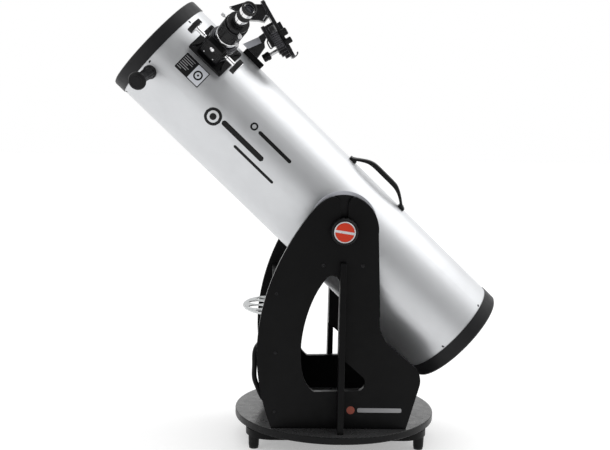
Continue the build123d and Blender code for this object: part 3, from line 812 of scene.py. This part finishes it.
def make_base():
    for side in ("near", "far"):
        refine(f"{side}_side_panel", ("laminate", "edge_band"), width=0.8, choose=board_side)
        refine(f"{side}_stiffening_rib", "laminate", width=0.8)
    for node, look, width in (
        ("front_board", "laminate", 0.8), ("ground_board", "laminate", 0.8),
        ("altitude_support_pads", "nylon", 0.6), ("azimuth_pads", "nylon", 0.4),
        ("azimuth_pivot_bolt", "steel", 0.4), ("eyepiece_rack", "grey_moulding", 0.6),
    ):
        refine(node, look, width)
    refine("turntable_disc", ("disc_laminate", "edge_band"), width=1.6, segments=3, choose=disc_side)


def make_feet():
    node = "leveling_feet"
    bm = bmesh.new()
    for group in islands(node):
        low = Vector(map(min, *group))
        high = Vector(map(max, *group))
        place = Matrix.Translation(((low.x + high.x) / 2, (low.y + high.y) / 2, low.z))
        pad = rounded([(0, 0), (12.2, 0), (13.0, 1.2), (13.0, 6), (0, 6)], 0.8)
        lathe(bm, pad, place, sides=64, index=1)
        cup = rounded([(0, 5.5), (13.6, 5.5), (14.2, 8), (15, 29), (15, 36), (0, 36)], 1.0)
        lathe(bm, cup, place, sides=64)
    stand_in(node, "moulded", bm, ("black_plastic", "rubber"))


def make_base_handle():
    spine = [
        (-188, 14, 16, 6.0), (-198, 16, 15, 6.2), (-210, 29, 13, 6.4), (-222, 56, 12, 6.8),
        (-231.5, 84, 12, 7.2), (-231.8, 120, 12.5, 7.2), (-231.5, 156, 12, 7.2), (-224, 177, 12, 6.8),
        (-208, 194, 13, 6.4), (-197, 198.5, 15, 6.2), (-188, 199.5, 16, 6.0),
    ]
    place = shift(0, 0, disc_top)
    bm = bmesh.new()
    grip(bm, spine, place)
    for low, high in ((4, 24), (188, 210)):
        box_piece(bm, (board_face_x - 6, board_face_x), (-20, 20), (low, high), place, bevel=2.2)
    stand_in("base_carry_handle", "moulded", bm, "grip_plastic")


def make_panel_marking():
    """A plain dot and bar printed on the near panel."""
    mark_x, mark_z = 30.3, disc_top + 52.0
    place = axes(Vector((0, panel_face_y * MM, 0)), X, -Y)
    left, right, low, high = mark_x + 18, mark_x + 138, mark_z - 6, mark_z + 6
    stripe = rounded([(left, low), (right, low), (right, high), (left, high)], 5.0, 6)
    bm = bmesh.new()
    prism(bm, circle(11.0, 40, mark_x, mark_z), -0.05, 0.10, place, index=1)
    prism(bm, [tuple(point) for point in stripe], -0.05, 0.10, place)
    finish_piece("panel_marking", bm, ("ink_grey", "ink_orange"), "rocker", crisp=False)


# ---- focuser and eyepiece ----
def square_ring(x_low, x_high, half_y, radius, height):
    """Rounded rectangle of points about the focuser axis. height is a number or a function of y."""
    corners = [(x_high, half_y), (x_low, half_y), (x_low, -half_y), (x_high, -half_y)]
    outline = rounded(corners, radius, 5)
    points = []
    for here, after in zip(outline, outline[1:] + outline[:1]):
        count = 14 if (after - here).length > 3 * radius else 1
        points += [here.lerp(after, k / count) for k in range(count)]
    return [(point.x, point.y, height(point.y) if callable(height) else height) for point in points]


def on_wall(y):
    """Height of the tube's outside above its axis, y mm to the side."""
    return sqrt((tube_radius + 0.05) ** 2 - y * y)


def make_focuser_base():
    """Square plate on a waisted foot that is shaped to the tube, with curved webs to its corners."""
    levels = [
        (48.5, 178.9), (49.5, 178.2), (50.0, 177.2), (50.0, 170.5), (49.4, 169.4), (47.5, 168.4),
        (41.0, 165.0), (35.5, 158.0), (32.5, on_wall),
    ]
    rings = [square_ring(-half - 6.0, half + 7.0, half, 6.0, height) for half, height in levels]
    inner, bore_radius = [], 29.6
    for height in (on_wall, 178.9):
        ring = []
        for x, y, _ in rings[0]:
            reach = bore_radius / hypot(x, y)
            level = height(y * reach) if callable(height) else height
            ring.append((x * reach, y * reach, level))
        inner.append(ring)
    bm = bmesh.new()
    loft(bm, [[focuser @ (Vector(point) * MM) for point in ring] for ring in rings + inner], closed=True)
    flat = axes(Vector(), X, Y)
    for side_x in (-1, 1):
        for side_y in (-1, 1):
            web = [(side_x * x, -side_y * y, 4.4 - 0.03 * x, 1.5) for x, y in
                   ((31, 3), (37, 10), (40, 19), (42, 28), (48, 37), (52, 43))]
            grip(bm, web, focuser @ shift(0, 0, 181.4) @ flat, around=12)
    stand_in("focuser_base", "cast", bm, "cast_black")


def make_focuser_body():
    """Round barrel with stepped flanges and the pinion housing on its near side."""
    bm = bmesh.new()
    barrel = rounded([
        (27.6, 179.2), (36.5, 179.2), (36.5, 184.0), (34.0, 187.5), (34.0, 220.5), (36.0, 223.5),
        (39.3, 225.5), (40.3, 227.0), (40.3, 233.5), (39.5, 234.6), (38.2, 234.8), (38.2, 236.2),
        (39.2, 236.8), (39.2, 241.2), (38.4, 242.0), (36.2, 242.2), (35.6, 243.0), (35.6, 246.6),
        (34.8, 247.4), (27.6, 247.4),
    ], 0.6, 2)
    lathe(bm, barrel, focuser, sides=144, index=1)
    box_piece(bm, (-24, 29.5), (26, 43.8), (190.5, 248.6), focuser, bevel=2.4)
    box_piece(bm, (-29, 34.5), (22, 39.5), (179.2, 236.0), focuser, bevel=3.2)
    box_piece(bm, (-22, 22), (-1, 0.9), (-18, 7), focuser @ shift(2.7, 43.6, 214), bevel=0.8)
    boss = [(5.9, 18), (12.5, 18), (12.5, 28.5), (11.4, 30.4), (8.6, 31.2), (8.2, 35.0), (5.9, 35.0)]
    for half in both_ways(pinion):
        lathe(bm, rounded(boss, 0.5), half, sides=72)
    stand_in("focuser_body", "cast", bm, ("cast_black", "flange_black"))


def dome_screw(radius, height):
    """Bright domed head with a straight slot, seated at the origin."""
    dome = bmesh.new()
    turns = [radians(angle) for angle in range(10, 90, 10)]
    arc = [(radius * cos(turn), height * sin(turn)) for turn in turns]
    outline = [(0, -1.5), (radius * 0.96, -1.5), (radius, 0), *arc, (0, height)]
    lathe(dome, outline, HERE, sides=48)
    cutter = bmesh.new()
    half, end, floor = 0.13 * radius, 1.2 * radius, 0.55 * height
    slot = [(-half, -end), (half, -end), (half, end), (-half, end)]
    prism(cutter, slot, floor, height + 1, HERE)
    return carved(dome, cutter)


def make_focuser():
    make_focuser_base()
    make_focuser_body()
    bm = bmesh.new()
    for x, y in ((-47, -41), (48, -41), (-47, 41), (48, 41)):
        merge(bm, screw_head(4.6, 2.4, "hexagon"), focuser @ shift(x, y, 181.2))
    finish_piece("focuser_corner_screws", bm, "black_oxide", "optical_tube")

    bm = bmesh.new()
    side_out = Matrix.Rotation(-pi / 2, 4, "X") @ Matrix.Rotation(0.6, 4, "Z")
    merge(bm, dome_screw(7.4, 4.4), focuser @ shift(4.4, 44.6, 230.0) @ side_out)
    for x in (18.0, -13.0):
        merge(bm, screw_head(1.9, 0.9, "hexagon"), focuser @ shift(x, 45.0, 199.0) @ side_out)
    finish_piece("focuser_tension_screws", bm, "chrome", "optical_tube")

    tube = [
        (25.5, 158), (27.5, 158), (27.5, 253.8), (31.2, 254.0), (32.2, 255.0), (32.2, 264.8), (31.4, 265.8),
        (30.6, 266), (25.5, 266),
    ]
    turned("drawtube", "turned", "chrome", rounded(tube, 0.4), focuser)
    clamp = [
        (31.0, 266.2), (31.6, 266.4), (32.2, 267.4), (32.2, 283.4), (31.5, 284.1), (31.5, 285.1),
        (32.2, 285.8), (32.2, 312.6), (31.2, 313.8), (31.2, 316.2), (32.2, 317.0), (32.2, 319.0), (31.4, 320),
        (25.6, 320), (25.6, 266.2),
    ]
    knurl = ridges(90, 0.22, 286.4, 312.0, 31.9)
    turned("drawtube_clamp", "turned", "anodised", rounded(clamp, 0.35, 2), focuser, 360, knurl)


def make_focus_knobs():
    """Ribbed wheels with bright hubs on a stepped bright shaft."""
    hub = rounded([
        (0, 64.5), (7.5, 64.5), (7.5, 66.0), (18.2, 66.0), (19.3, 66.8), (19.3, 81.2), (18.2, 82.0),
        (14.5, 82.0), (13.6, 81.0), (7.0, 81.0), (6.0, 81.9), (0, 81.9),
    ], 0.5, 2)
    tyre = [(19.1, 67.0), (20.1, 67.0), (20.5, 67.6), (20.5, 80.0), (20.1, 80.6), (19.1, 80.6)]
    bm = bmesh.new()
    for half in both_ways(pinion):
        lathe(bm, hub, half, sides=96, index=1)
        lathe(bm, rounded(tyre, 0.3, 2), half, sides=360, wave=ridges(60, 0.5, 67.4, 80.2, 20.2))
    stand_in("focus_knobs", "turned", bm, ("rubber", "chrome"))
    shaft = [
        (0, -66), (5.6, -66), (5.6, -42), (4.6, -41), (4.0, -40), (4.0, 40), (4.6, 41), (5.6, 42), (5.6, 66),
        (0, 66),
    ]
    turned("pinion_shaft", "turned", "chrome", rounded(shaft, 0.5, 2), pinion, 48)


def make_eyepiece():
    adapter = [
        (16.0, 284), (24.6, 284), (25.3, 285), (25.3, 320.4), (28.8, 320.4), (29.5, 321.2), (29.5, 326.0),
        (28.9, 326.6), (28.9, 327.6), (29.5, 328.2), (29.5, 333.6), (27.8, 335.9), (16.0, 335.9),
    ]
    turned("eyepiece_adapter", "turned", "anodised", rounded(adapter, 0.4, 2), focuser)
    body = [
        (13.1, 302), (15.0, 302), (15.8, 303), (15.8, 336.4), (17.2, 336.4), (18.0, 337.4), (18.0, 361.0),
        (17.3, 361.8), (16.5, 362), (16.5, 380.2), (17.3, 380.4), (18.0, 381.2), (18.0, 394.0), (17.2, 394.8),
        (15.9, 395), (15.9, 399.6), (13.1, 399.6),
    ]
    turned("eyepiece_body", "turned", "chrome", rounded(body, 0.35, 2), focuser)

    bm = bmesh.new()
    sleeve = [(16.6, 362.1), (18.0, 362.1), (18.6, 362.8), (18.6, 379.2), (18.0, 380), (16.6, 380)]
    lathe(bm, rounded(sleeve, 0.3, 2), focuser, sides=360, wave=ridges(60, 0.5, 363.0, 379.0, 18.2))
    band = [(18.0, 341.5), (18.25, 341.5), (18.25, 344.6), (18.0, 344.6)]
    lathe(bm, rounded(band, 0.05, 1), focuser, sides=96)
    stand_in("eyepiece_grip", "moulded", bm, "rubber")

    cup = [
        (16.1, 395.1), (18.6, 395.1), (19.4, 396), (19.6, 400), (18.9, 404.2), (17.2, 405), (15.0, 404.4),
        (14.1, 402.6), (14.1, 399.7), (16.1, 399.7),
    ]
    turned("eyepiece_eyecup", "moulded", "rubber", rounded(cup, 0.6), focuser)
    radius, sphere, rim_height = 13.0, 40.0, 393.2
    drop = sqrt(sphere ** 2 - radius ** 2)
    spots = [radius * k / 12 for k in range(12, -1, -1)]
    dome = [(spot, rim_height + sqrt(sphere ** 2 - spot ** 2) - drop) for spot in spots]
    turned("eyepiece_lens", "ground", "lens", [(0, 389), (radius, 389), *dome], focuser, 72)


# ---- phone dock ----
def tray_frame():
    """Frame at the front end of the phone tray: local X back along it, local Z out of its face."""
    tilt = radians(15.9)  # against the tube
    back = tube_dir * -cos(tilt) - tube_up * sin(tilt)
    out = tube_up * cos(tilt) - tube_dir * sin(tilt)
    return axes(pivot + (tube_dir * 581 + tube_up * 293) * MM, back, out)


def bracket_side(face):
    """1 on the bevelled front faces of the bracket, which are painted light grey as a highlight, 0 elsewhere."""
    return 1 if face.normal.dot(tube_dir) > 0.25 and 0.3 < abs(face.normal.y) < 0.9 else 0


def make_dock_bracket():
    """Wedge with both front corners cut back to a ridge, and a bent strap under the slide."""
    foot = pivot + (tube_dir * 542 + tube_up * 163) * MM
    place = axes(foot, near_side, tube_up * 50 - tube_dir * 20.5)
    cutter = bmesh.new()
    for side in (1, -1):
        corner = [(0.3 * side, 0.3), (26 * side, 24.0), (26 * side, -8), (0.3 * side, -8)]
        prism(cutter, corner, -4, 53.5, place)
    strap = bmesh.new()
    path = [(98, -43, 9, 1.6), (103, -47.5, 9, 1.8), (113, -48.6, 9, 1.8), (121, -48.4, 9, 1.8),
            (124, -46.4, 9, 1.6), (123, -42.5, 9, 1.6)]
    grip(strap, path, tray_frame())
    # The bevelled front faces are painted light grey as a highlight.
    refine("dock_bracket", ("dock_plastic", "dock_grey"), width=1.0, choose=bracket_side, cutter=cutter,
           extra=strap)


def make_dock_carriage():
    """Slide with a barrel on its near front end and ribs along its side."""
    tray = tray_frame()
    parts = bmesh.new()
    barrel = [
        (0, 0), (8.6, 0), (9.8, 1.4), (9.8, 15.5), (8.8, 16.6), (8.8, 18.0), (9.8, 19.0), (9.8, 21), (0, 21),
    ]
    place = tray @ axes(Vector((72.5, -55.5, -19.5)) * MM, Y, X)
    lathe(parts, rounded(barrel, 0.6, 2), place, sides=72)
    for k in range(7):
        along = 97.0 + 6.0 * k
        box_piece(parts, (along, along + 2.2), (-65.0, -63.5), (-31.5, -14.5), tray, bevel=0.4)
    box_piece(parts, (148.5, 160), (-24, 24), (-31, -11.2), tray, bevel=1.2)
    box_piece(parts, (159, 169), (-19, 19), (-24, -11.2), tray, bevel=1.2)
    refine("dock_carriage", "dock_plastic", width=0.8, extra=parts)


def make_phone_tray():
    """Tray with rubber pads and two hooked stops at its low end."""
    tray = tray_frame()
    cutter = bmesh.new()
    box_piece(cutter, (160, 182), (-40, 40), (0.05, 20), tray, bevel=0.1)
    parts = bmesh.new()
    for y in (-26, 26):
        stop = [(171, -7.5, 6, 2.4), (174, -7.0, 6, 2.4), (175.4, -3.0, 6, 1.9), (174.8, 3.0, 6, 1.6),
                (173.0, 8.0, 6, 1.5), (170.0, 11.0, 6, 1.4), (167.0, 11.4, 6, 1.2)]
        grip(parts, stop, tray @ shift(0, y, 0))
    for low, high in ((96, 112), (118, 134), (140, 156), (3.5, 9.5)):
        box_piece(parts, (low, high), (-33, 33), (-0.3, 1.1), tray, bevel=0.6, index=1)
    refine("phone_tray", ("dock_plastic", "rubber"), width=0.9, cutter=cutter, extra=parts)


def make_dock_hood():
    """Mirror housing with a tapering beak and a rib on each cheek, painted bright silver as a highlight."""
    tray = tray_frame()
    side = axes(pivot, tube_dir, -near_side)
    cutter = bmesh.new()
    beak = [
        (646, 207.5), (636.4, 211.6), (627, 216.4), (618, 218.4), (608, 214.6), (602, 208.5), (602, 196),
        (646, 196),
    ]
    prism(cutter, beak, -40, 40, side)
    ribs = bmesh.new()
    for y in (-30.4, 30.4):
        rib = [
            (47.0, -29.0, 0.9, 1.0), (43.6, -22.0, 0.9, 1.1), (39.6, -15.6, 0.9, 1.1),
            (41.4, -13.4, 0.9, 1.0), (45.4, -14.6, 0.9, 0.9),
        ]
        # The ribs' silver is a painted highlight.
        grip(ribs, rib, tray @ shift(0, y, 0), index=1, around=12)
    refine("dock_mirror_housing", ("dock_plastic", "silver_badge_and_painted_highlight"), width=0.7, cutter=cutter, extra=ribs)


def make_dock():
    refine("finder_shoe", "cast_black", width=0.6)
    make_dock_bracket()
    make_dock_carriage()
    make_phone_tray()
    make_dock_hood()
    refine("dock_mirror", "mirror", width=0.2)
    refine("phone_clamp", "dock_plastic", width=0.7)
    for node, count in (("dock_lengthwise_knob", 9), ("dock_sideways_knob", 9), ("dock_lock_knob", 7)):
        place, radius, head, length = turned_frames(node)[0]
        shank = (0.46 if node == "dock_lock_knob" else 0.28) * radius
        outline = rounded([
            (shank - 1, -head), (radius * 0.80, -head), (radius, -head + 3), (radius, -head * 0.55),
            (radius * 0.90, -head * 0.5), (radius * 0.94, -head * 0.42), (radius * 0.94, -2.2),
            (radius * 0.78, 0), (radius * 0.55, 0), (radius * 0.5, -0.8), (0, -0.8), (0, -head),
        ], 0.7)
        lobes = ridges(count, 0.13 * radius, -head, 0, radius * 0.75)
        bm = bmesh.new()
        lathe(bm, outline, place, sides=count * 18, wave=lobes)
        shaft = rounded([(0, -length), (shank, -length), (shank, -head - 3), (shank * 1.15, -head - 2.6),
                         (shank * 1.15, -head), (0, -head)], 0.4)
        lathe(bm, shaft, place, sides=48, index=1)
        looks = ("grip_plastic", "steel" if node == "dock_lock_knob" else "black_oxide")
        stand_in(node, "moulded", bm, looks)


# ---- camera ----
CAMERA_PLACE_M = Vector((-0.2190, -2.9079, 0.9633))
CAMERA_YAW, CAMERA_PITCH, CAMERA_ROLL = (radians(angle) for angle in (2.44, 6.95, 1.29))
CAMERA_LENS = 60.93


def make_camera():
    camera = bpy.data.cameras.new("camera")
    camera.lens = CAMERA_LENS
    camera.sensor_width = 36.0
    holder = add_object("camera", camera)
    turn = (
        Matrix.Rotation(-CAMERA_YAW, 4, "Z")
        @ Matrix.Rotation(pi / 2 - CAMERA_PITCH, 4, "X")
        @ Matrix.Rotation(CAMERA_ROLL, 4, "Z")
    )
    holder.matrix_world = Matrix.Translation(CAMERA_PLACE_M) @ turn
    bpy.context.scene.camera = holder


# ---- studio ----
FLOOR_HALF_M = 14.0
FLOOR_GLOW = 0.36


def make_studio():
    bm = bmesh.new()
    bmesh.ops.create_grid(bm, x_segments=8, y_segments=8, size=FLOOR_HALF_M)
    floor = mesh_object("studio_floor", bm)
    paper = LOOK["floor_paper"]
    # A lit paper sweep: it glows a little, so it meets the background without a line.
    tree = paper.node_tree
    fill(tree, tree.nodes["Principled BSDF"], Emission_Color=(1, 1, 1, 1), Emission_Strength=FLOOR_GLOW)
    floor.data.materials.append(paper)

    world = bpy.data.worlds.new("studio")
    bpy.context.scene.world = world
    world.use_nodes = True
    tree = world.node_tree
    direction = tree.nodes.new("ShaderNodeTexCoord").outputs["Generated"]
    # Bright behind, above and to the right; dim behind the viewer.
    lit = spread(tree, dot(tree, direction, (0.3, 1.0, 0.6)), 0.12, 1.12, -0.9, 0.6)
    seen = tree.nodes.new("ShaderNodeLightPath").outputs["Is Camera Ray"]
    level = tree.nodes.new("ShaderNodeMix")
    for index, value in ((0, seen), (2, lit), (3, 1.0)):
        put(tree, level.inputs[index], value)
    fill(tree, tree.nodes["Background"], Color=(1, 1, 1, 1), Strength=level.outputs[0])

    for name, place, target, size, power in (
        ("top_softbox", (1.5, 0.2, 2.5), (0.0, 0.0, 0.7), 2.4, 22.0),
        ("left_fill", (-2.4, -1.6, 1.6), (-0.2, 0.0, 0.7), 1.6, 14.0),
    ):
        light = bpy.data.lights.new(name, "AREA")
        light.size = size
        light.energy = power
        lamp = add_object(name, light)
        lamp.location = place
        lamp.rotation_euler = (Vector(target) - Vector(place)).to_track_quat("-Z", "Y").to_euler()


make_camera()
make_studio()
make_base()
make_feet()
make_base_handle()
make_panel_marking()
make_tube()
make_bearing_painted_highlights()
make_tube_handle()
make_steering_knob()
make_tube_markings()
make_tension_knobs()
make_screws()
make_thumbscrews()
make_collimation_hardware()
make_focuser()
make_focus_knobs()
make_eyepiece()
make_dock()
bpy.context.scene.view_settings.view_transform = "Standard"
